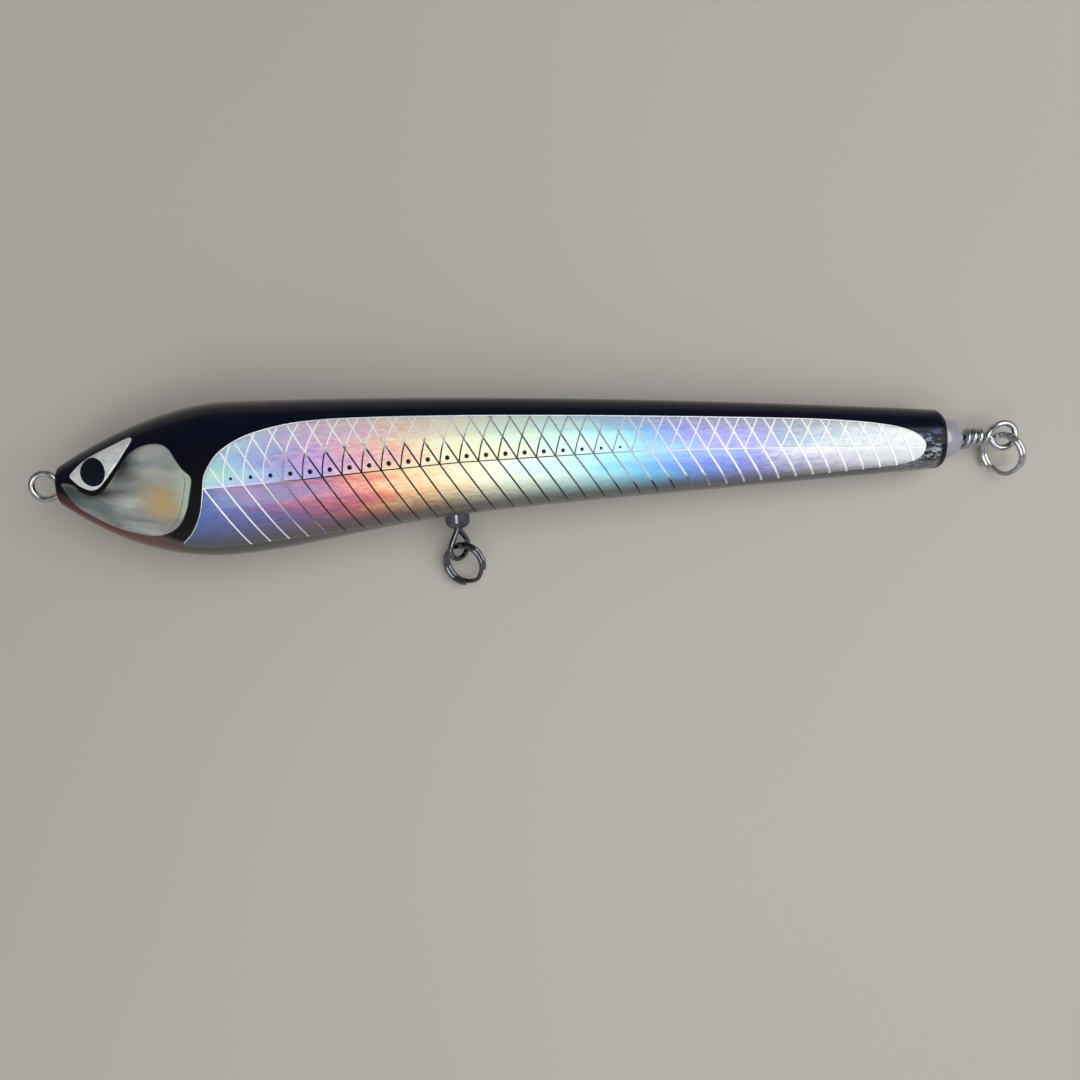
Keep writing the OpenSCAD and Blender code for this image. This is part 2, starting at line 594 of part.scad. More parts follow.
module right_gill_shell() { lying() mirror([0, 0, 1]) gill_shell(); }
module left_eye_shell() { lying() eye_shell(); }
module right_eye_shell() { lying() mirror([0, 0, 1]) eye_shell(); }
module left_pupil() { lying() pupil(); }
module right_pupil() { lying() mirror([0, 0, 1]) pupil(); }

left_body_half();
right_body_half();
nose_eye();
through_wire();
tail_eye();
front_ballast();
rear_ballast();
tail_weight();
swivel_upper_eye();
swivel_barrel();
swivel_lower_eye();
belly_split_ring();
tail_split_ring();
left_flank_foil();
right_flank_foil();
left_gill_shell();
right_gill_shell();
left_eye_shell();
right_eye_shell();
left_pupil();
right_pupil();
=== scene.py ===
"""Looks of a wooden diving pencil lure that lies on its right flank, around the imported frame."""

import math

import bmesh
import bpy
from mathutils import Matrix, Vector


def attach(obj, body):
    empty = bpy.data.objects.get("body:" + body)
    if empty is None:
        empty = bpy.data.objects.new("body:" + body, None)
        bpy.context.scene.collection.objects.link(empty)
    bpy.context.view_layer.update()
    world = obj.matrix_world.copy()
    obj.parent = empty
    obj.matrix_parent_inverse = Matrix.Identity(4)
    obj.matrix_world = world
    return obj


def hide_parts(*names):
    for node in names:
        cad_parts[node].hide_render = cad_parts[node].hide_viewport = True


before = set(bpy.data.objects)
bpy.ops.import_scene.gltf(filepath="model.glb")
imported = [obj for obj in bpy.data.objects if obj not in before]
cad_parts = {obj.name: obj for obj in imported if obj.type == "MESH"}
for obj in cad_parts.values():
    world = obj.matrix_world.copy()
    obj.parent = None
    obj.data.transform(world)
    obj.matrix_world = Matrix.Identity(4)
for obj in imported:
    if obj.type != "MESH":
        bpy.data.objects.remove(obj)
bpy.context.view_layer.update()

# Sizes in millimetres, in the lure's own frame: X from nose to tail, Y out of the back and Z out of
# the left flank
MM = 0.001
BODY_LEN = 211.4
SHOULDER_X = 39.1
SHOULDER_TOP, SHOULDER_BOTTOM, SHOULDER_SIDE = 17.8, 18.9, 14.2
NOSE_TOP, NOSE_BOTTOM, NOSE_SIDE = 4.6, 4.4, 4.4
TAIL_R = 7.2
CHEST_SWELL, CHEST_REACH = 5.4, 37.5
EDGE_ROUND = 0.5
SECTION_POWER = 2.15
BACK_HEAD, BELLY_HEAD, SIDE_HEAD = 1.7, 2.2, 1.9
BACK_REAR, SIDE_REAR = 1.57, 1.15
WIRE_D = 1.5
NOSE_LOOP_R, NOSE_LOOP_X = 3.15, -3.9
TAIL_LOOP_R, TAIL_LOOP_X = 3.05, 228.637
WEIGHT_R, WEIGHT_LEN, SPIGOT_R, SPIGOT_LEN = 5.35, 6.6, 3.5, 14.0
SWIVEL_X, HOLE_R, HOLE_TOP = 93.1, 4.8, 2.65
FOIL_T, SHELL_T, PUPIL_T = 0.2, 0.35, 0.3
# How the lure lies on the floor
ROLL, PITCH, LIFT, MID_X, MID_Y = 14.0, 2.4929, 16.7267, 112.725, -6.0172
LAY = (Matrix.Scale(MM, 4) @ Matrix.Translation((-MID_X, -MID_Y, LIFT))
       @ Matrix.Rotation(math.radians(PITCH), 4, "Y") @ Matrix.Rotation(math.radians(ROLL), 4, "X"))
# What a whole paint map stands for: mm along the body, degrees round it, and degrees over the foil
PAINT_SPAN, ROUND_SPAN, FLANK_SPAN = 250.0, 180, 160

# Place of the lateral line along the flank: distance from the nose, and angle from the back
LATERAL = [(29, 90.5), (36.6, 90), (58.6, 88), (94.9, 82), (132, 80), (151, 81), (175, 84), (205, 93),
           (212, 96)]
LATERAL_FIRST, LATERAL_STEP, LATERAL_COUNT = 37.0, 0.9, 188
# Scale lines: where they start, their radius, and how far they stay within the film
SCALE_FIRST, SCALE_STEP, SCALE_COUNT = 36.86, 4.457, 38
LINE_R, LINE_FRONT, LINE_REAR, LINE_MARGIN, LINE_MARGIN_ANGLE = 0.28, 36.8, 205.6, 0.3, 0.8
# By distance from the nose: share of that radius, slant in mm along for a mm up or down, and curl
LINE_SIZE = [(60, 1.0), (130, 1.0), (160, 1.35), (206, 1.4)]
FORWARD_LEAN = [(60, -0.62), (150, -0.58), (200, -0.45)]
BACKWARD_LEAN = [(60, 0.02), (120, 0.2), (150, 0.5), (200, 0.55)]
BACKWARD_CURL = [(60, 0.022), (120, 0.02), (150, 0.0)]
LOWER_LEAN = [(40, 0.62), (70, 0.6), (85, 0.62), (100, 0.7), (120, 0.72), (150, 0.67), (176, 0.63),
              (200, 0.54)]
# Radius of the dots by distance from the nose
DOT_SIZE = [(40, 0.3), (50, 0.5), (60, 0.58), (110, 0.55), (125, 0.42), (132, 0.3)]


def along(table, x):
    """Value at x between the (x, value) pairs of a table."""
    for (x0, v0), (x1, v1) in zip(table, table[1:]):
        if x <= x1:
            return v0 + (v1 - v0) * min(1, max(0, (x - x0) / (x1 - x0)))
    return table[-1][1]


def head_part(x):
    """Share of the way from the shoulder to the nose."""
    return 1 - max(0.0, x / SHOULDER_X)


def rear_part(x):
    """Share of the way from the shoulder to the tail."""
    return max(0.0, (x - SHOULDER_X) / (BODY_LEN - SHOULDER_X))


def back_y(x):
    """Height of the back over the wire."""
    if x < SHOULDER_X:
        return NOSE_TOP + (SHOULDER_TOP - NOSE_TOP) * (1 - head_part(x) ** BACK_HEAD)
    return TAIL_R + (SHOULDER_TOP - TAIL_R) * (1 - rear_part(x) ** BACK_REAR)


def belly_y(x):
    """Depth of the belly under the wire."""
    if x < SHOULDER_X:
        return NOSE_BOTTOM + (SHOULDER_BOTTOM - NOSE_BOTTOM) * (1 - head_part(x) ** BELLY_HEAD)
    chest = CHEST_SWELL * math.exp(-((x - SHOULDER_X) / CHEST_REACH) ** 2)
    return TAIL_R + (SHOULDER_BOTTOM - CHEST_SWELL - TAIL_R) * (1 - rear_part(x)) + chest


def side_z(x):
    """Half of the width."""
    if x < SHOULDER_X:
        return NOSE_SIDE + (SHOULDER_SIDE - NOSE_SIDE) * (1 - head_part(x) ** SIDE_HEAD)
    return TAIL_R + (SHOULDER_SIDE - TAIL_R) * (1 - rear_part(x) ** SIDE_REAR)


def rounding(x):
    """How far the rounded edge of an end draws the skin in."""
    gap = min(x, BODY_LEN - x)
    if gap >= EDGE_ROUND:
        return 0.0
    return EDGE_ROUND - math.sqrt(max(0.0, EDGE_ROUND ** 2 - (EDGE_ROUND - gap) ** 2))


def signed_power(v, p):
    """Power that keeps the sign."""
    return math.copysign(abs(v) ** p, v)


def skin(x, a):
    """Point of the body at a distance from the nose and an angle from the back, left flank positive."""
    c, s = math.cos(math.radians(a)), math.sin(math.radians(a))
    y = (back_y(x) if c > 0 else belly_y(x)) - rounding(x)
    return Vector((x, y * signed_power(c, 2 / SECTION_POWER),
                   (side_z(x) - rounding(x)) * signed_power(s, 2 / SECTION_POWER)))


def place_of(p):
    """Distance from the nose and angle from the back of a point, right flank negative."""
    y = back_y(p.x) if p.y > 0 else belly_y(p.x)
    c = signed_power(p.y / y, SECTION_POWER / 2)
    s = signed_power(p.z / side_z(p.x), SECTION_POWER / 2)
    return p.x, math.degrees(math.atan2(s, c))


def skin_normal(p):
    """Outward direction of the body's skin at a point."""
    step = 1.5
    outline = back_y if p.y > 0 else belly_y
    x0, x1 = max(0.0, p.x - step), min(BODY_LEN, p.x + step)
    y, z = outline(p.x), side_z(p.x)
    dy = (outline(x1) - outline(x0)) / (x1 - x0)
    dz = (side_z(x1) - side_z(x0)) / (x1 - x0)
    fy, fz = abs(p.y / y), abs(p.z / z)
    n = Vector((-(fy ** SECTION_POWER) * dy / y - (fz ** SECTION_POWER) * dz / z,
                math.copysign(fy ** (SECTION_POWER - 1), p.y) / y,
                math.copysign(fz ** (SECTION_POWER - 1), p.z) / z))
    return n.normalized()


def on_skin(x, a, height):
    """Point at a height over the skin."""
    p = skin(x, a)
    return p + skin_normal(p) * height


def closed_curve(marks, n):
    """Smooth closed line through given marks, in n steps from one to the next."""
    out = []
    count = len(marks)
    for i in range(count):
        a, b, c, d = (Vector(marks[(i + k) % count]) for k in (-1, 0, 1, 2))
        for k in range(n):
            t = k / n
            out.append(0.5 * (2 * b + (c - a) * t + (2 * a - 5 * b + 4 * c - d) * t * t
                              + (3 * b - a - 3 * c + d) * t ** 3))
    return out


def at_share(line, share):
    """Point at a share of the length of a line of places."""
    degrees_per_mm = 4
    lengths = [0.0]
    for p, q in zip(line, line[1:]):
        lengths.append(lengths[-1] + math.hypot(q[0] - p[0], (q[1] - p[1]) / degrees_per_mm))
    goal = share * lengths[-1]
    for i in range(1, len(line)):
        if goal <= lengths[i] or i == len(line) - 1:
            span = lengths[i] - lengths[i - 1]
            return line[i - 1].lerp(line[i], min(1.0, (goal - lengths[i - 1]) / span) if span else 0)


def split_outline(outline):
    """Upper and lower edge of an outline, both from its front end to its rear end."""
    count = len(outline)
    front = min(range(count), key=lambda i: outline[i][0])
    rear = max(range(count), key=lambda i: outline[i][0])
    one = [outline[i % count] for i in range(front, rear + (count if rear < front else 0) + 1)]
    two = [outline[i % count] for i in range(rear, front + (count if front < rear else 0) + 1)][::-1]
    return sorted((one, two), key=lambda e: sum(p[1] for p in e) / len(e))


def behind(share):
    """Distance from the nose at a share of the way from the shoulder to the tail."""
    return SHOULDER_X + share * (BODY_LEN - SHOULDER_X)


FOIL_MARKS = [(-0.0145, 90.5), (-0.011, 82), (-0.001, 72.5), (0.0116, 64.5), (0.032, 56.5),
              (0.055, 50.5), (0.09, 44.5), (0.125, 41), (0.18, 39), (0.31, 38.5), (0.445, 39.5),
              (0.545, 40.5), (0.735, 43), (0.818, 45), (0.871, 48.5), (0.908, 53.5), (0.934, 60),
              (0.9545, 70), (0.966, 82), (0.9692, 93.5), (0.9655, 108), (0.955, 119), (0.937, 126),
              (0.905, 129), (0.856, 131), (0.755, 134), (0.653, 138), (0.569, 142), (0.43, 148),
              (0.34, 152), (0.27, 151), (0.21, 148), (0.087, 141.5), (0.02, 141), (-0.026, 141.5),
              (-0.0555, 138.5), (-0.0385, 123.5), (-0.0228, 107)]
GILL_MARKS = [(0.059, 79), (0.095, 100), (0.146, 117), (0.253, 126), (0.386, 131.5), (0.529, 132),
              (0.647, 128), (0.754, 118), (0.821, 105), (0.854, 94), (0.875, 83), (0.828, 76),
              (0.79, 68), (0.749, 58.5), (0.688, 52), (0.591, 50), (0.519, 54), (0.473, 62),
              (0.427, 72), (0.366, 85), (0.309, 92), (0.253, 95), (0.182, 92), (0.128, 82)]
EYE_MARKS = [(0.514, 37), (0.386, 38.5), (0.284, 41), (0.22, 44.5), (0.168, 52.5), (0.122, 66),
             (0.147, 77), (0.19, 86.5), (0.2455, 90.5), (0.2967, 88.5), (0.337, 82.5),
             (0.399, 70.5), (0.4629, 56)]
FOIL_OUTLINE = closed_curve([(behind(s), a) for s, a in FOIL_MARKS], 5)
GILL_OUTLINE = closed_curve([(s * SHOULDER_X, a) for s, a in GILL_MARKS], 6)
EYE_OUTLINE = closed_curve([(s * SHOULDER_X, a) for s, a in EYE_MARKS], 8)
PUPIL_X, PUPIL_A, PUPIL_RX, PUPIL_RY = 10.83, 68.5, 3.245, 3.089


# Materials

def linear(code):
    """Linear colour of an sRGB hex value."""
    def channel(v):
        return v / 12.92 if v <= 0.04045 else ((v + 0.055) / 1.055) ** 2.4
    return tuple(channel(int(code[i:i + 2], 16) / 255) for i in (1, 3, 5)) + (1.0,)


def fill(tree, n, values, links):
    """Sets a node's input values and links. A node that is linked stands for its first output."""
    for key, value in values.items():
        n.inputs[key].default_value = value
    for key, source in links.items():
        tree.links.new(getattr(source, "outputs", [source])[0], n.inputs[key])


def node(tree, kind, values=None, links=None, stops=None, **settings):
    """Adds a node with its settings, input values, links and ramp stops."""
    n = tree.nodes.new(kind)
    for key, value in settings.items():
        setattr(n, key, value)
    fill(tree, n, values or {}, links or {})
    if stops:
        ramp = n.color_ramp.elements
        while len(ramp) < len(stops):
            ramp.new(1.0)
        for element, (place, colour) in zip(ramp, stops):
            element.position = place
            element.color = linear(colour) if isinstance(colour, str) else (colour, colour, colour, 1.0)
    return n


def new_material(name):
    """Empty material with its shader, and the tree to add to."""
    material = bpy.data.materials.new(name)
    material.use_nodes = True
    tree = material.node_tree
    return material, tree, tree.nodes["Principled BSDF"]


def painted_wood():
    """Cedar sprayed blue-black above and silver-grey below, under thick lacquer: deep and wet gloss."""
    material, tree, shader = new_material("painted_wood")
    uv = node(tree, "ShaderNodeUVMap", uv_map="paint")
    part = node(tree, "ShaderNodeSeparateXYZ", links={0: uv}).outputs
    place = node(tree, "ShaderNodeTexCoord").outputs["Object"]
    # spray mist of about 11 mm breaks up the edge between the two paints
    mist = node(tree, "ShaderNodeTexNoise", {"Scale": 90.0, "Detail": 3.0}, {"Vector": place})
    # the dark paint reaches lowest from 24 mm to the shoulder: collar paint, and painted shade under the
    # gill
    edge = node(tree, "ShaderNodeValToRGB", links={0: part["X"]}, stops=[
        (0.0, 0.56), (0.02, 0.62), (0.06, 0.66), (0.095, 0.72), (0.125, 0.79), (0.15, 0.79),
        (0.2, 0.7)])
    edge_level = node(tree, "ShaderNodeMath", {1: -0.015}, {0: edge}, operation="ADD")
    lower = node(tree, "ShaderNodeMath", links={0: part["Y"], 1: edge_level}, operation="SUBTRACT")
    lowest = node(tree, "ShaderNodeMath", {1: 0.03}, {0: mist, 2: lower}, operation="MULTIPLY_ADD")
    belly = node(tree, "ShaderNodeMapRange", {"From Min": -0.02, "From Max": 0.035},
                 {"Value": lowest}, interpolation_type="SMOOTHSTEP")
    # the throat's grey is darkest at about 30 mm: painted shade under the gill's rear edge
    throat = node(tree, "ShaderNodeValToRGB", links={0: part["X"]}, stops=[
        (0.0, "#2a1414"), (0.02, "#562a26"), (0.06, "#63352f"), (0.09, "#5e4640"), (0.12, "#484441"),
        (0.16, "#4d4b48"), (0.5, "#5e5c59"), (0.84, "#545458")])
    back = node(tree, "ShaderNodeValToRGB", links={0: part["Y"]}, stops=[
        (0.0, "#03050c"), (0.12, "#070b20"), (0.3, "#05071a"), (0.45, "#030409"), (0.8, "#050506")])
    paint = node(tree, "ShaderNodeMix", {}, {0: belly, 6: back, 7: throat}, data_type="RGBA")
    # crumpled foil, in creases of about 3 by 1.6 mm, shows through the dark paint just before the tail
    crinkle = node(tree, "ShaderNodeMapping", {"Scale": (330.0, 620.0, 620.0)}, {0: place})
    crumple = node(tree, "ShaderNodeTexNoise",
                   {"Scale": 1.0, "Detail": 5.0, "Roughness": 0.7, "Distortion": 1.5},
                   {"Vector": crinkle})
    glint = node(tree, "ShaderNodeMapRange", {"From Min": 0.47, "From Max": 0.62}, {"Value": crumple})
    aft = node(tree, "ShaderNodeMapRange", {"From Min": 0.775, "From Max": 0.81}, {"Value": part["X"]})
    down = node(tree, "ShaderNodeMapRange", {"From Min": 0.29, "From Max": 0.42}, {"Value": part["Y"]})
    rim = node(tree, "ShaderNodeMapRange", {"From Min": 0.8425, "From Max": 0.8395}, {"Value": part["X"]})
    tail = node(tree, "ShaderNodeMath", links={0: aft, 1: down}, operation="MULTIPLY")
    tail_in = node(tree, "ShaderNodeMath", links={0: tail, 1: rim}, operation="MULTIPLY")
    spark = node(tree, "ShaderNodeMath", links={0: tail_in, 1: glint}, operation="MULTIPLY")
    spark_tone = node(tree, "ShaderNodeValToRGB", links={0: part["Y"]}, stops=[
        (0.3, "#33437f"), (0.42, "#7486b4"), (0.55, "#b4bac4"), (0.75, "#8d8f92")])
    tailed = node(tree, "ShaderNodeMix", {}, {0: spark, 6: paint.outputs[2], 7: spark_tone},
                  data_type="RGBA")
    cut_end = node(tree, "ShaderNodeMapRange", {"From Min": 0.8395, "From Max": 0.8425},
                   {"Value": part["X"]})
    done = node(tree, "ShaderNodeMix", {7: linear("#08090d")}, {0: cut_end, 6: tailed.outputs[2]},
                data_type="RGBA")
    metal = node(tree, "ShaderNodeMath", {1: 0.45}, {0: spark}, operation="MULTIPLY")
    # slight waves in the lacquer, about 10 mm apart
    wave = node(tree, "ShaderNodeTexNoise", {"Scale": 100.0, "Detail": 1.0}, {"Vector": place})
    peel = node(tree, "ShaderNodeBump", {"Strength": 0.08, "Distance": 0.0004}, {"Height": wave})
    dent = node(tree, "ShaderNodeMath", links={0: crumple, 1: tail_in}, operation="MULTIPLY")
    crease = node(tree, "ShaderNodeBump", {"Strength": 0.8, "Distance": 0.0006},
                  {"Height": dent, "Normal": peel})
    fill(tree, shader,
         {"Roughness": 0.35, "Specular IOR Level": 0.05, "Coat Weight": 1.0, "Coat IOR": 1.22,
          "Coat Roughness": 0.03},
         {"Base Color": done.outputs[2], "Metallic": metal, "Normal": crease, "Coat Normal": peel})
    return material


def holographic_foil():
    """Holographic film, embossed and lacquered: soft rainbow bands along the flank, finely speckled."""
    material, tree, shader = new_material("holographic_foil")
    uv = node(tree, "ShaderNodeUVMap", uv_map="paint")
    part = node(tree, "ShaderNodeSeparateXYZ", links={0: uv}).outputs
    place = node(tree, "ShaderNodeTexCoord").outputs["Object"]
    # streaks some 18 mm long and 4 mm high, and speckle of about 2 by 0.6 mm, shift the bands
    stretch = node(tree, "ShaderNodeMapping", {"Scale": (55.0, 240.0, 240.0)}, {0: place})
    streak = node(tree, "ShaderNodeTexNoise", {"Scale": 1.0, "Detail": 2.0, "Roughness": 0.5},
                  {"Vector": stretch})
    fine = node(tree, "ShaderNodeMapping", {"Scale": (480.0, 1500.0, 1500.0)}, {0: place})
    speck = node(tree, "ShaderNodeTexNoise", {"Scale": 1.0, "Detail": 3.0, "Roughness": 0.65},
                 {"Vector": fine})
    moved = node(tree, "ShaderNodeMath", {1: 0.13}, {0: streak, 2: part["X"]}, operation="MULTIPLY_ADD")
    shaken = node(tree, "ShaderNodeMath", {1: 0.055}, {0: speck, 2: moved}, operation="MULTIPLY_ADD")
    tilted = node(tree, "ShaderNodeMath", {1: 0.07}, {0: part["Y"], 2: shaken}, operation="MULTIPLY_ADD")
    phase = node(tree, "ShaderNodeMath", {1: -0.1275}, {0: tilted}, operation="ADD")
    upper = node(tree, "ShaderNodeValToRGB", links={0: phase}, stops=[
        (0.15, "#a6dcd2"), (0.185, "#9fc6ea"), (0.215, "#98a2de"), (0.25, "#c09cd6"), (0.29, "#e1a9bb"),
        (0.325, "#eec39e"), (0.37, "#eee4bc"), (0.42, "#e2efca"), (0.465, "#cdf2dc"), (0.5, "#b4eef2"),
        (0.54, "#6fc4ec"), (0.575, "#70a4ee"), (0.615, "#8788e4"), (0.66, "#9396d2"), (0.7, "#839db9"),
        (0.74, "#a8bcc9"), (0.78, "#c2cdd2"), (0.82, "#d0d8da")])
    under = node(tree, "ShaderNodeValToRGB", links={0: phase}, stops=[
        (0.15, "#4a67ae"), (0.185, "#66649e"), (0.215, "#855f97"), (0.25, "#b3637f"), (0.28, "#d5736e"),
        (0.31, "#ea9b6c"), (0.345, "#f3d5a0"), (0.38, "#f4eccc"), (0.42, "#eaf4da"), (0.455, "#d0f2ea"),
        (0.49, "#b0eef8"), (0.53, "#86d8fa"), (0.57, "#6fa8f4"), (0.61, "#7d94e8"), (0.65, "#9a9cdc"),
        (0.69, "#c2c2da"), (0.73, "#d8d9e4"), (0.78, "#dfe3e8"), (0.82, "#e6e9ec")])
    side = node(tree, "ShaderNodeMapRange", {"From Min": 0.498, "From Max": 0.502}, {"Value": part["Y"]})
    bands = node(tree, "ShaderNodeMix", {}, {0: side, 6: under, 7: upper}, data_type="RGBA")
    # painted highlight: the film turns paler just above the lateral line and much paler towards its upper
    # edge
    pale = node(tree, "ShaderNodeValToRGB", links={0: part["Y"]}, stops=[
        (0.4, 0.0), (0.498, 0.06), (0.502, 0.14), (0.57, 0.04), (0.64, 0.08), (0.68, 0.3), (0.76, 0.5)])
    highlighted = node(tree, "ShaderNodeMix", {7: linear("#ecebea")}, {0: pale, 6: bands.outputs[2]},
                  data_type="RGBA")
    # painted shade and a painted reflection of the floor: the film turns dark grey towards the belly
    shade = node(tree, "ShaderNodeValToRGB", links={0: part["Y"]}, stops=[
        (0.1, 1.0), (0.2, 0.94), (0.26, 0.7), (0.3, 0.44), (0.38, 0.0)])
    shaded = node(tree, "ShaderNodeMix", {7: linear("#4b4947")}, {0: shade, 6: highlighted.outputs[2]},
                  data_type="RGBA")
    grain = node(tree, "ShaderNodeMix", {0: 0.55}, {6: shaded.outputs[2], 7: speck},
                 data_type="RGBA", blend_type="OVERLAY")
    dent = node(tree, "ShaderNodeBump", {"Strength": 0.25, "Distance": 0.0002}, {"Height": speck})
    fill(tree, shader,
         {"Metallic": 0.2, "Roughness": 0.4, "Coat Weight": 1.0, "Coat IOR": 1.36, "Coat Roughness": 0.12},
         {"Base Color": grain.outputs[2], "Normal": dent})
    return material


def scale_ribs():
    """Lines pressed into the film, white at the ends and top and black midway: painted reflection."""
    material, tree, shader = new_material("scale_ribs")
    uv = node(tree, "ShaderNodeUVMap", uv_map="paint")
    part = node(tree, "ShaderNodeSeparateXYZ", links={0: uv}).outputs
    place = node(tree, "ShaderNodeTexCoord").outputs["Object"]
    # noise in spots of about 1.5 mm breaks up the edges between the painted tones
    rib_noise = node(tree, "ShaderNodeTexNoise", {"Scale": 650.0, "Detail": 2.0}, {"Vector": place})
    level = node(tree, "ShaderNodeMath", {1: 0.12}, {0: rib_noise, 2: part["Y"]}, operation="MULTIPLY_ADD")
    # painted reflection of bright and dark surroundings, set by place along the body and up the flank
    top = node(tree, "ShaderNodeValToRGB", links={0: part["X"]}, stops=[
        (0.15, "#f0f6f6"), (0.22, "#f6f8f8"), (0.36, "#dcdedc"), (0.42, "#8d9392"), (0.49, "#98a5a6"),
        (0.54, "#cfdde2"), (0.6, "#f4f7f9"), (0.84, "#fafafa")])
    middle = node(tree, "ShaderNodeValToRGB", links={0: part["X"]}, stops=[
        (0.15, "#eef4f6"), (0.2, "#e6eaf0"), (0.225, "#6c6874"), (0.245, "#0f0e12"), (0.46, "#131518"),
        (0.51, "#6f7c82"), (0.56, "#cfdde6"), (0.62, "#f4f6f8"), (0.84, "#fafafa")])
    low = node(tree, "ShaderNodeValToRGB", links={0: part["X"]}, stops=[
        (0.15, "#dbe4ea"), (0.22, "#c2c4ce"), (0.26, "#1b1a20"), (0.58, "#1a1e24"), (0.66, "#b8bfc8"),
        (0.8, "#c8cdd2")])
    rise = node(tree, "ShaderNodeMapRange", {"From Min": 0.655, "From Max": 0.71}, {"Value": level})
    fall = node(tree, "ShaderNodeMapRange", {"From Min": 0.4, "From Max": 0.33}, {"Value": level})
    raised = node(tree, "ShaderNodeMix", {}, {0: rise, 6: middle, 7: top}, data_type="RGBA")
    done = node(tree, "ShaderNodeMix", {}, {0: fall, 6: raised.outputs[2], 7: low}, data_type="RGBA")
    fill(tree, shader,
         {"Roughness": 0.35, "Specular IOR Level": 0.1, "Coat Weight": 1.0, "Coat IOR": 1.3,
          "Coat Roughness": 0.05},
         {"Base Color": done.outputs[2]})
    return material


def plain_finish(name, colours, scale, metallic, roughness, coat=0.0, bump=0.0, stretch=(1, 1, 1),
                 glare=0.5):
    """Finish with a mottled tone between two colours, for the metals, inks and cast pieces."""
    material, tree, shader = new_material(name)
    place = node(tree, "ShaderNodeTexCoord").outputs["Object"]
    stretched = node(tree, "ShaderNodeMapping", {"Scale": stretch}, {0: place})
    grain = node(tree, "ShaderNodeTexNoise", {"Scale": scale, "Detail": 3.0}, {"Vector": stretched})
    tone = node(tree, "ShaderNodeValToRGB", links={0: grain},
                stops=[(0.35, colours[0]), (0.65, colours[1])])
    smoothest, roughest = 0.8, 1.25
    rough = node(tree, "ShaderNodeMapRange",
                 {"To Min": roughness * smoothest, "To Max": roughness * roughest}, {"Value": grain})
    fill(tree, shader,
         {"Metallic": metallic, "Specular IOR Level": glare, "Coat Weight": coat, "Coat Roughness": 0.04},
         {"Base Color": tone, "Roughness": rough})
    if bump:
        dent = node(tree, "ShaderNodeBump", {"Strength": bump, "Distance": 0.0002}, {"Height": grain})
        fill(tree, shader, {}, {"Normal": dent})
    return material


def pearl_shell():
    """Pearl shell, sliced, polished and lacquered: silky grey, gold and mint where its layers thin out."""
    material, tree, shader = new_material("pearl_shell")
    uv = node(tree, "ShaderNodeUVMap", uv_map="paint")
    place = node(tree, "ShaderNodeTexCoord").outputs["Object"]
    # growth lines about 3 mm apart that slant across the plate
    fan = node(tree, "ShaderNodeMapping",
               {"Scale": (90.0, 330.0, 330.0), "Rotation": (0.0, 0.0, 0.45)}, {0: place})
    layer = node(tree, "ShaderNodeTexNoise",
                 {"Scale": 1.0, "Detail": 3.0, "Roughness": 0.45, "Distortion": 0.5}, {"Vector": fan})
    silk = node(tree, "ShaderNodeValToRGB", links={0: layer}, stops=[
        (0.3, "#6f7674"), (0.5, "#8d9390"), (0.7, "#aeb2ad")])

    def patch(x, a, reach_x, reach_a, strength):
        """Soft spot round a place on the head."""
        offset = node(tree, "ShaderNodeVectorMath", {1: (-x / PAINT_SPAN, -a / ROUND_SPAN, 0)},
                      {0: uv}, operation="ADD")
        scaled = node(tree, "ShaderNodeVectorMath",
                      {1: (PAINT_SPAN / reach_x, ROUND_SPAN / reach_a, 0)},
                      {0: offset}, operation="MULTIPLY")
        far = node(tree, "ShaderNodeVectorMath", links={0: scaled}, operation="LENGTH")
        rough_edge = node(tree, "ShaderNodeMath", {1: 0.5}, {0: layer, 2: far.outputs["Value"]},
                          operation="MULTIPLY_ADD")
        return node(tree, "ShaderNodeMapRange",
                    {"From Min": 1.5, "From Max": 0.35, "To Max": strength},
                    {"Value": rough_edge}, interpolation_type="SMOOTHSTEP")

    colour = silk
    for x, a, reach_x, reach_a, strength, code in (
            (25.5, 92, 7.0, 22, 0.5, "#a89a80"), (27.3, 99, 5.6, 15, 0.85, "#b2965a"),
            (33.0, 94, 3.0, 28, 0.75, "#a6bba6"), (26.5, 60, 7.5, 12, 0.6, "#a9acaa"),
            (10.0, 108, 8.5, 22, 0.85, "#46585a"), (4.5, 94, 5.0, 26, 0.9, "#263031"),
            (11.8, 92, 8.5, 10, 1.0, "#101317"),
            (17.8, 66, 4.6, 20, 1.0, "#15181c"), (19.5, 52, 4.5, 9, 0.9, "#24292e")):
        spot = patch(x, a, reach_x, reach_a, strength)
        colour = node(tree, "ShaderNodeMix", {7: linear(code)}, {0: spot, 6: colour},
                      data_type="RGBA").outputs[2]
    ripple = node(tree, "ShaderNodeBump", {"Strength": 0.12, "Distance": 0.0003}, {"Height": layer})
    fill(tree, shader, {"Metallic": 0.1, "Roughness": 0.35, "Coat Weight": 1.0, "Coat Roughness": 0.03},
         {"Base Color": colour, "Normal": ripple})
    return material


wood = painted_wood()
foil = holographic_foil()
ribs = scale_ribs()
shell = pearl_shell()
# white pearl, cut thin and polished: a soft white with faint grey clouds of about 4 by 2 mm
eye_white = plain_finish("eye_pearl", ("#c3c8c8", "#e4e7e5"), 260.0, 0.05, 0.3, coat=1.0, bump=0.03,
                         stretch=(1, 2, 2))
# black enamel, dropped on and left glossy: almost even, in tones of about 2.5 mm
black_ink = plain_finish("black_enamel", ("#040813", "#08101f"), 400.0, 0.0, 0.25, coat=0.3, glare=0.1)
# film folded over at its cut edge: a fine silver-white line, in tones about 5 mm long
foil_rim = plain_finish("foil_rim", ("#c6cacc", "#e3e5e6"), 200.0, 0.2, 0.3, coat=1.0)
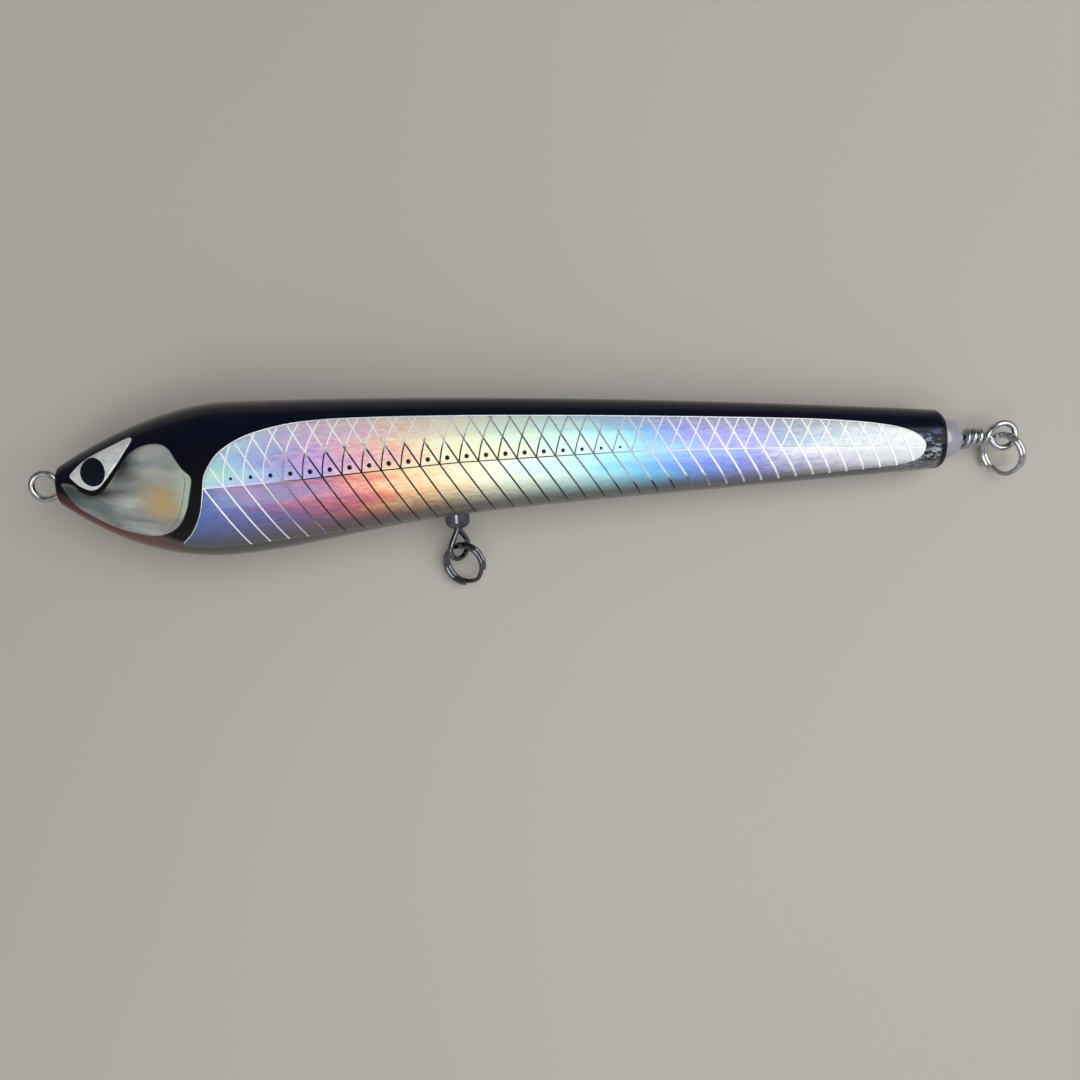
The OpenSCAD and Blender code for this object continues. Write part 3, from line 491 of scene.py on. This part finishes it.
# growth line worn into the shell's edge and lacquered: dark, mottled at about 2 mm
groove = plain_finish("shell_groove", ("#4c544c", "#6b7368"), 500.0, 0.0, 0.4, coat=1.0)
# stainless spring wire, drawn and polished: bright, with faint die marks of about 1.4 mm
steel = plain_finish("stainless_wire", ("#9a9da0", "#c4c7ca"), 700.0, 1.0, 0.16, bump=0.04)
# black nickel plate on polished steel: a dark mirror, in clouds of about 2 mm
nickel = plain_finish("black_nickel", ("#515359", "#6a6c72"), 500.0, 1.0, 0.11, bump=0.02)
# lead, cast and left dull: a slight orange peel of about 3 mm
lead = plain_finish("cast_lead", ("#5a5c60", "#787a7e"), 300.0, 0.8, 0.55, bump=0.3)
# pearl enamel, sprayed smooth: an even lilac grey, in clouds of about 8 mm
pearl_grey = plain_finish("pearl_grey_enamel", ("#8d909c", "#9a9da8"), 120.0, 0.2, 0.35, coat=1.0)


# Pieces

def linked(name, data):
    """New object in the scene."""
    obj = bpy.data.objects.new(name, data)
    bpy.context.scene.collection.objects.link(obj)
    return obj


def mesh_from(bm, name):
    """Mesh of a bmesh, which is freed."""
    mesh = bpy.data.meshes.new(name)
    bm.to_mesh(mesh)
    bm.free()
    return mesh


def baked(holder, name):
    """Mesh of an object with its bevel or modifiers applied."""
    graph = bpy.context.evaluated_depsgraph_get()
    mesh = bpy.data.meshes.new_from_object(holder.evaluated_get(graph))
    mesh.name = name
    return mesh


def smooth(mesh, sharp):
    """Shades a mesh smooth, with hard edges past an angle in degrees."""
    mesh.polygons.foreach_set("use_smooth", [True] * len(mesh.polygons))
    mesh.set_sharp_from_angle(angle=math.radians(sharp))
    return mesh


def add_mesh(name, mesh, body, material, replaced=()):
    """Links a finished mesh as a piece that rides on a body."""
    mesh.materials.clear()
    mesh.materials.append(material)
    obj = linked(name, mesh)
    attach(obj, body)
    if replaced:
        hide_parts(*replaced)
    return obj


def mesh_of(name, bm, sharp=40.0):
    """Mesh, as the lure lies on the floor, of a shape that was built in the lure's own frame."""
    bm.transform(LAY)
    return smooth(mesh_from(bm, name), sharp)


def wire_mesh(name, lines, r):
    """Round wires along lists of points of the lure's own frame. Each point has a share of the radius."""
    thick, sharp = 0.4, 50.0
    curve = bpy.data.curves.new(name, "CURVE")
    curve.dimensions = "3D"
    curve.bevel_depth = r * MM
    curve.bevel_resolution = 3 if r > thick else 1
    curve.use_fill_caps = True
    for points, shares in lines:
        spline = curve.splines.new("POLY")
        spline.points.add(len(points) - 1)
        for knot, p, share in zip(spline.points, points, shares):
            knot.co = (*(LAY @ p), 1.0)
            knot.radius = share
    holder = linked(name, curve)
    mesh = baked(holder, name)
    bpy.data.objects.remove(holder)
    bpy.data.curves.remove(curve)
    return smooth(mesh, sharp)


def body_uv(x, a):
    """Place on the body for the paint's pattern."""
    return x / PAINT_SPAN, a / ROUND_SPAN


def foil_uv(x, a):
    """Place on the flank for the foil's pattern: 0.5 on the lateral line, more towards the back."""
    return x / PAINT_SPAN, 0.5 + (along(LATERAL, x) - a) / FLANK_SPAN


def lacquered_body():
    """Whole painted body, lacquered over the joint of its halves, with the swivel's hole in the belly."""
    around, length_steps, crowd, end_inset, sharp = 112, 180, 0.85, 0.4, 40.0
    drill_sides, drill_len = 64, 40.0
    end_gap, facing = 1.0, 0.8
    bm = bmesh.new()
    bmesh.ops.create_cone(bm, cap_ends=True, segments=around, radius1=1.0, radius2=1.0, depth=1.0)
    caps = [f for f in bm.faces if abs(f.normal.z) > 0.9]
    runs = [e for e in bm.edges if abs(e.verts[0].co.z - e.verts[1].co.z) > 0.5]
    bmesh.ops.subdivide_edges(bm, edges=runs, cuts=length_steps)
    for v in bm.verts:
        # the rings crowd towards both ends, where the outline bends most
        u = v.co.z + 0.5
        x = BODY_LEN * min(1.0, max(0.0, u - crowd * math.sin(2 * math.pi * u) / (2 * math.pi)))
        v.co = skin(x, math.degrees(math.atan2(v.co.y, v.co.x)))
    bmesh.ops.inset_region(bm, faces=caps, thickness=end_inset)
    drill = bmesh.new()
    bmesh.ops.create_cone(drill, cap_ends=True, segments=drill_sides, radius1=HOLE_R, radius2=HOLE_R,
                          depth=drill_len)
    drill.transform(Matrix.Translation((SWIVEL_X, HOLE_TOP - drill_len / 2, 0))
                    @ Matrix.Rotation(math.pi / 2, 4, "X"))
    holder = linked("lacquered_body", mesh_from(bm, "lacquered_body"))
    cutter = linked("drill", mesh_from(drill, "drill"))
    cut = holder.modifiers.new("hole", "BOOLEAN")
    cut.operation, cut.solver, cut.object = "DIFFERENCE", "EXACT", cutter
    mesh = baked(holder, "lacquered_body")
    for o in (holder, cutter):
        bpy.data.objects.remove(o)
    smooth(mesh, sharp)
    # the skin's own normals keep the gloss even, away from the ends and the hole's wall
    paint = mesh.uv_layers.new(name="paint")
    normals = [c.vector.copy() for c in mesh.corner_normals]
    for poly in mesh.polygons:
        for i in poly.loop_indices:
            p = mesh.vertices[mesh.loops[i].vertex_index].co
            x, a = place_of(p)
            paint.data[i].uv = body_uv(x, abs(a))
            if end_gap < x < BODY_LEN - end_gap:
                n = skin_normal(p)
                if n.dot(poly.normal) > facing:
                    normals[i] = n
    mesh.transform(LAY)
    turn = LAY.to_3x3().normalized()
    mesh.normals_split_custom_set([turn @ n for n in normals])
    return add_mesh("lacquered_body", mesh, "lure_body", wood,
                    ("left_body_half", "right_body_half"))


def to_flank(bm, side):
    """Mirrors a shape of the left flank where the right one is meant, and turns its faces outwards."""
    if side < 0:
        bmesh.ops.scale(bm, vec=(1, 1, -1), verts=bm.verts)
    bmesh.ops.recalc_face_normals(bm, faces=bm.faces)


def plate(name, outline, side, height, columns, rows, material, replaced, uv=body_uv):
    """Thin plate on the flank that fills an outline, with a rim that the lacquer softens."""
    sunk, rim_height, merge_gap, sharp = -0.15, 0.03, 0.005, 60.0
    upper, lower = split_outline(outline)
    bm = bmesh.new()
    bmesh.ops.create_grid(bm, x_segments=columns, y_segments=rows, size=0.5)
    far = bm.verts.layers.float.new("far")
    angle = bm.verts.layers.float.new("angle")
    rim = bm.verts.layers.float.new("rim")
    for v in bm.verts:
        u = (1 - math.cos(math.pi * (v.co.x + 0.5))) / 2
        p = at_share(upper, u).lerp(at_share(lower, u), v.co.y + 0.5)
        v[far], v[angle], v[rim] = p[0], p[1], 1.0 if v.is_boundary else 0.0
        v.co = on_skin(p[0], p[1], sunk)
    bmesh.ops.remove_doubles(bm, verts=bm.verts, dist=merge_gap)
    grown = bmesh.ops.extrude_face_region(bm, geom=bm.faces[:], use_keep_orig=True)
    for v in grown["geom"]:
        if isinstance(v, bmesh.types.BMVert):
            v.co = on_skin(v[far], v[angle], rim_height if v[rim] > 0.5 else height)
    to_flank(bm, side)
    paint = bm.loops.layers.uv.new("paint")
    for f in bm.faces:
        for loop in f.loops:
            loop[paint].uv = uv(loop.vert[far], loop.vert[angle])
    return add_mesh(name, mesh_of(name, bm, sharp), "lure_body", material, replaced)


def mirrored(points, side):
    """Points of the left flank, or their mirror on the right one."""
    return [Vector((p.x, p.y, p.z * side)) for p in points]


def seen_height(p):
    """How far up the flank a point lies, as seen from above."""
    return p.y * math.cos(math.radians(ROLL)) - p.z * math.sin(math.radians(ROLL))


def in_outline(outline, x, a):
    """Whether a place lies inside an outline."""
    inside = False
    for p, q in zip(outline, outline[1:] + outline[:1]):
        if (p[1] > a) != (q[1] > a) and x < p[0] + (a - p[1]) / (q[1] - p[1]) * (q[0] - p[0]):
            inside = not inside
    return inside


def well_inside(x, a):
    """Whether a place lies on the foil and clear of its edge."""
    return all(in_outline(FOIL_OUTLINE, x + dx, a + da)
               for dx, da in ((-LINE_MARGIN, 0), (LINE_MARGIN, 0), (0, -LINE_MARGIN_ANGLE),
                              (0, LINE_MARGIN_ANGLE)))


def scale_line(first, lean, curl, way):
    """Places along one scale line from the lateral line, up the flank or down it."""
    reach = 90
    start = along(LATERAL, first)
    base = seen_height(skin(first, start))
    places = []
    for i in range(reach):
        a = start + way * i
        rise = abs(seen_height(skin(first, a)) - base)
        x = first + lean * rise + curl * rise * rise
        if not (LINE_FRONT < x < LINE_REAR) or (i and not well_inside(x, a)):
            break
        if i % 2 == 0 or not well_inside(x, a + 2 * way):
            places.append((x, a))
    return places


def scale_pattern(side, name):
    """Scale lines pressed into the film: crossing diagonals above the lateral line, one set below it."""
    sunk_share, lateral_share, backward_share = 0.55, 0.7, 0.85
    # lines that start this many scales past the film's ends still cross it
    before, past = 3, 4
    lines = []

    def add(places, share):
        if len(places) > 2:
            height = FOIL_T - sunk_share * LINE_R * share
            points = mirrored([on_skin(x, a, height) for x, a in places], side)
            lines.append((points, [share] * len(points)))

    lateral = [LATERAL_FIRST + LATERAL_STEP * i for i in range(LATERAL_COUNT)]
    lateral_places = [(x, along(LATERAL, x)) for x in lateral]
    add([(x, a) for x, a in lateral_places if well_inside(x, a)], lateral_share)
    for k in range(-before, SCALE_COUNT + past):
        x = SCALE_FIRST + k * SCALE_STEP
        size = along(LINE_SIZE, x)
        add(scale_line(x, along(FORWARD_LEAN, x), 0.0, -1), size)
        add(scale_line(x, along(BACKWARD_LEAN, x), along(BACKWARD_CURL, x), -1), backward_share * size)
        add(scale_line(x, along(LOWER_LEAN, x), 0.0, 1), size)
    mesh = wire_mesh(name, lines, LINE_R)
    flat = LAY.inverted()
    places = [place_of(flat @ v.co) for v in mesh.vertices]
    paint = mesh.uv_layers.new(name="paint")
    for loop, corner in zip(mesh.loops, paint.data):
        x, a = places[loop.vertex_index]
        corner.uv = foil_uv(x, abs(a))
    return add_mesh(name, mesh, "lure_body", ribs)


def lateral_dots(side, name):
    """Row of small black dots over the front of the lateral line."""
    first, last, shift, above, dot_height = 1, 21, 0.4, 4.6, 0.1
    bm = bmesh.new()
    for k in range(first, last + 1):
        x = SCALE_FIRST + (k + shift) * SCALE_STEP
        a = along(LATERAL, x) - above
        size = along(DOT_SIZE, x)
        p = on_skin(x, a, FOIL_T)
        n = skin_normal(p)
        seat = Vector((1, 0, 0)).cross(n).normalized()
        turn = Matrix((Vector((1, 0, 0)), seat, n)).transposed().to_4x4()
        form = Matrix.Diagonal((size, size, dot_height, 1.0))
        bmesh.ops.create_uvsphere(bm, u_segments=14, v_segments=6, radius=1.0,
                                  matrix=Matrix.Translation(p) @ turn @ form)
    if side < 0:
        bmesh.ops.scale(bm, vec=(1, 1, -1), verts=bm.verts)
        bmesh.ops.reverse_faces(bm, faces=bm.faces)
    return add_mesh(name, mesh_of(name, bm), "lure_body", black_ink)


def edge_line(name, places, side, height, r, material):
    """Fine bead along a line of places on the flank."""
    points = mirrored([on_skin(x, a, height) for x, a in places], side)
    mesh = wire_mesh(name, [(points, [1.0] * len(points))], r)
    return add_mesh(name, mesh, "lure_body", material)


def pupil(name, side, node_name):
    """Domed black pupil set into the eye."""
    sunk, sharp = 0.1, 60.0
    bm = bmesh.new()
    bmesh.ops.create_uvsphere(bm, u_segments=40, v_segments=20, radius=1.0)
    middle = skin(PUPIL_X, PUPIL_A)
    for v in bm.verts:
        x, y = PUPIL_X + PUPIL_RX * v.co.x, middle.y + PUPIL_RY * v.co.y
        share = min(1.0, abs(y) / (back_y(x) if y > 0 else belly_y(x)))
        p = Vector((x, y, side_z(x) * (1 - share ** SECTION_POWER) ** (1 / SECTION_POWER)))
        v.co = p + skin_normal(p) * (SHELL_T + (PUPIL_T if v.co.z > 0 else sunk) * v.co.z)
    to_flank(bm, side)
    return add_mesh(name, mesh_of(name, bm, sharp), "lure_body", black_ink, (node_name,))


def hermite(p, q, u, v, t):
    """Point on a curve from p to q that leaves along u and arrives along v."""
    return ((2 * t ** 3 - 3 * t ** 2 + 1) * p + (t ** 3 - 2 * t ** 2 + t) * u
            + (3 * t ** 2 - 2 * t ** 3) * q + (t ** 3 - t ** 2) * v)


def wire_eye(name, loop_r, loop_x, way, run_from, turns, wrap_start, cut_rise, node_name):
    """Wire eye closed by its own wraps. The wire runs in along X, round the loop and back over itself."""
    bend_r, wrap_r, pitch, out = 1.2, WIRE_D + 0.06, WIRE_D + 0.05, math.radians(112)
    straight_gap, leave_pull, arrive = 0.4, 1.1, Vector((-0.8, -4.5, 0))
    bend_steps, loop_steps, leave_steps, turn_steps, cut_steps = 8, 48, 12, 28, 10
    lead = math.asin(bend_r / (loop_r + bend_r))
    run_end = -math.sqrt((loop_r + bend_r) ** 2 - bend_r ** 2)
    points = [Vector((run_from, 0, 0)), Vector((run_end - straight_gap, 0, 0))]
    for i in range(bend_steps + 1):
        a = math.pi / 2 - (math.pi / 2 - lead) * i / bend_steps
        points.append(Vector((run_end + bend_r * math.cos(a), bend_r * math.sin(a) - bend_r, 0)))
    first, last = math.pi + lead, 2 * math.pi + out
    for i in range(1, loop_steps + 1):
        a = first + (last - first) * i / loop_steps
        points.append(Vector((loop_r * math.cos(a), loop_r * math.sin(a), 0.0)))
    leave = Vector((-math.sin(out), math.cos(out), 0)) * loop_r * leave_pull
    start = Vector((-loop_r - wrap_start, 0, wrap_r))
    loop_end = points[-1]
    for i in range(1, leave_steps):
        points.append(hermite(loop_end, start, leave, arrive, i / leave_steps))
    for i in range(int(turn_steps * turns) + 1):
        a = 2 * math.pi * i / turn_steps
        rise = wrap_r + cut_rise * max(0.0, i - turn_steps * turns + cut_steps) / cut_steps
        points.append(Vector((start.x - pitch * i / turn_steps, -rise * math.sin(a), rise * math.cos(a))))
    placed = [Vector((loop_x + way * p.x, way * p.y, p.z)) for p in points]
    mesh = wire_mesh(name, [(placed, [1.0] * len(placed))], WIRE_D / 2)
    return add_mesh(name, mesh, "lure_body", steel, (node_name,))


def tail_weight():
    """Turned tail weight: a domed nut on a spigot, with a bore for the wire."""
    bore, chamfer, flare = WIRE_D / 2 + 0.1, 0.15, 0.25
    dome_power, mouth, throat = 0.8, 0.985, 0.97
    around, sharp = 72, 35.0
    bm = bmesh.new()
    outline = [(-SPIGOT_LEN, bore), (-SPIGOT_LEN, SPIGOT_R), (0.0, SPIGOT_R), (0.0, WEIGHT_R - chamfer),
               (chamfer, WEIGHT_R)]
    for a in range(5, 77, 3):
        t = math.radians(a)
        outline.append((WEIGHT_LEN * math.sin(t), WEIGHT_R * math.cos(t) ** dome_power))
    outline += [(WEIGHT_LEN * mouth, bore + flare), (WEIGHT_LEN * throat, bore)]
    verts = [bm.verts.new((BODY_LEN + x, r, 0)) for x, r in outline]
    edges = [bm.edges.new((p, q)) for p, q in zip(verts, verts[1:] + verts[:1])]
    bmesh.ops.spin(bm, geom=verts + edges, cent=(0, 0, 0), axis=(1, 0, 0), angle=2 * math.pi,
                   steps=around, use_merge=True)
    bmesh.ops.recalc_face_normals(bm, faces=bm.faces)
    return add_mesh("tail_weight_dome", mesh_of("tail_weight_dome", bm, sharp), "lure_body",
                    pearl_grey, ("tail_weight",))


lacquered_body()
for label, way in (("left", 1), ("right", -1)):
    plate(f"{label}_foil", FOIL_OUTLINE, way, FOIL_T, 150, 44, foil,
          (f"{label}_flank_foil",), foil_uv)
    scale_pattern(way, f"{label}_scale_lines")
    lateral_dots(way, f"{label}_lateral_dots")
    edge_line(f"{label}_foil_edge", split_outline(FOIL_OUTLINE)[0], way, 0.06, 0.14,
              foil_rim)
    edge_line(f"{label}_gill_groove", [(x - 1.3, a) for x, a in GILL_OUTLINE if x > 26 and 80 < a < 126],
              way, SHELL_T - 0.04, 0.09, groove)
    plate(f"{label}_gill", GILL_OUTLINE, way, SHELL_T, 72, 36, shell,
          (f"{label}_gill_shell",))
    plate(f"{label}_eye", EYE_OUTLINE, way, SHELL_T, 48, 26, eye_white,
          (f"{label}_eye_shell",))
    pupil(f"{label}_pupil_dome", way, f"{label}_pupil")
wire_eye("nose_wire_eye", NOSE_LOOP_R, NOSE_LOOP_X, -1, -13.0, 2.5, 2.4, 0.0, "nose_eye")
wire_eye("tail_wire_eye", TAIL_LOOP_R, TAIL_LOOP_X, 1, BODY_LEN - TAIL_LOOP_X, 3.3, 1.75, 0.9, "tail_eye")
tail_weight()
for name, finish in (("through_wire", steel), ("front_ballast", lead), ("rear_ballast", lead),
                     ("swivel_upper_eye", nickel), ("swivel_barrel", nickel), ("swivel_lower_eye", nickel),
                     ("belly_split_ring", nickel), ("tail_split_ring", steel)):
    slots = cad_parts[name].data.materials
    slots.clear()
    slots.append(finish)


# Floor, light and camera

def floor_finish():
    """Painted board, matt: a plain pale floor, in clouds of about 330 mm."""
    material, tree, shader = new_material("pale_floor")
    place = node(tree, "ShaderNodeTexCoord").outputs["Object"]
    cloud = node(tree, "ShaderNodeTexNoise", {"Scale": 3.0, "Detail": 2.0}, {"Vector": place})
    tone = node(tree, "ShaderNodeValToRGB", links={0: cloud}, stops=[(0.3, "#ada8a1"), (0.7, "#b3afa8")])
    fill(tree, shader, {"Roughness": 0.6}, {"Base Color": tone})
    return material


# The floor lies a little under the solids' floor, so that the lines on the right flank don't cut it
FLOOR_HALF, FLOOR_Z = 6.0, -0.2 * MM
bm = bmesh.new()
bmesh.ops.create_grid(bm, x_segments=1, y_segments=1, size=FLOOR_HALF,
                      matrix=Matrix.Translation((0, 0, FLOOR_Z)))
floor_mesh = mesh_from(bm, "floor")
floor_mesh.materials.append(floor_finish())
floor = linked("floor", floor_mesh)

world = bpy.data.worlds.new("studio")
bpy.context.scene.world = world
world.use_nodes = True
sky = world.node_tree
look = node(sky, "ShaderNodeTexCoord")
# the room is bright on the near side of the table and dim behind the lure's back and overhead
side = node(sky, "ShaderNodeVectorMath", {1: (0.3, -0.75, -0.2)}, {0: look.outputs["Generated"]},
            operation="DOT_PRODUCT")
share = node(sky, "ShaderNodeMapRange", {"From Min": -0.8, "From Max": 0.8},
             {"Value": side.outputs["Value"]})
glow = node(sky, "ShaderNodeValToRGB", links={0: share}, stops=[
    (0.0, 0.14), (0.2, 0.18), (0.375, 0.26), (0.6, 0.5), (1.0, 0.62)])
fill(sky, sky.nodes["Background"], {"Strength": 1.0}, {"Color": glow})


def soft_box(name, place, target, size, watts):
    """Large soft lamp that faces a point."""
    data = bpy.data.lights.new(name, "AREA")
    data.shape = "RECTANGLE"
    data.size, data.size_y = size
    data.energy = watts
    lamp = linked(name, data)
    lamp.location = place
    lamp.rotation_euler = (Vector(target) - Vector(place)).to_track_quat("-Z", "Y").to_euler()


soft_box("key_box", (0.5, 0.05, 0.95), (0, 0, 0), (1.0, 1.0), 8.6)
# a smaller lamp that the swivel's barrel and the wires mirror
soft_box("glint_box", (-0.1, -0.6, 0.9), (0, 0, 0), (0.4, 0.35), 1.6)

camera_data = bpy.data.cameras.new("camera")
camera_data.sensor_width = 36.0
camera_data.sensor_fit = "HORIZONTAL"
camera_data.lens = 36.0
camera = linked("camera", camera_data)
camera.location = (0.066 * MM, -13.334 * MM, 273.45 * MM)
camera.rotation_euler = (0, 0, math.radians(-3.24))
bpy.context.scene.camera = camera
bpy.context.scene.view_settings.view_transform = "Standard"
